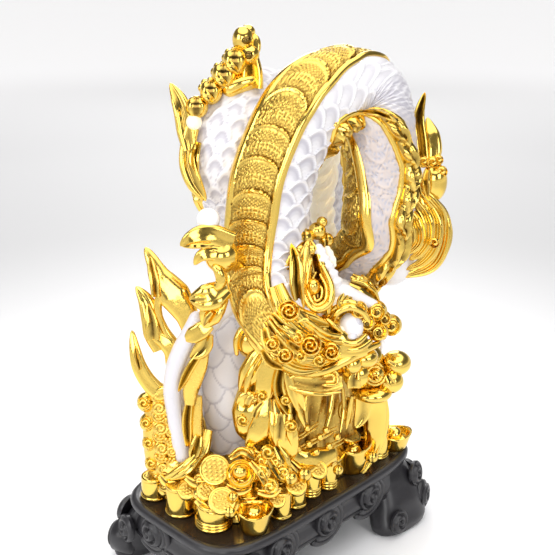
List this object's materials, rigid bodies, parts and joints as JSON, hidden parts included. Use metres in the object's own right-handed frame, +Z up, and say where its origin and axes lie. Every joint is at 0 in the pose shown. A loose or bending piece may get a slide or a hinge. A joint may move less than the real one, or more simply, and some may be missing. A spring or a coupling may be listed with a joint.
{
  "type": "dragon statue",
  "caption": "White and gold dragon looping up out of a heap of coins and ingots, a pearl in its raised claw, on a black scroll-footed plinth.",
  "frame": {"origin": "middle of the footprint, on the table under the plinth", "axes": "+Z up, +X along the plinth's long side towards the end the dragon looks to, -Y the side the dragon's head is on"},
  "size_m": [0.2932, 0.194, 0.504],
  "materials": {
    "plinth": "black satin resin, made to look like lacquered wood",
    "casting": "cast resin, part polished gold plating and part satin white glaze",
    "pearl": "white pearl gloss"
  },
  "bodies": {
    "root": {"plinth": "plinth", "dragon_and_treasure": "casting", "pearl": "pearl"}
  },
  "joints": []
}
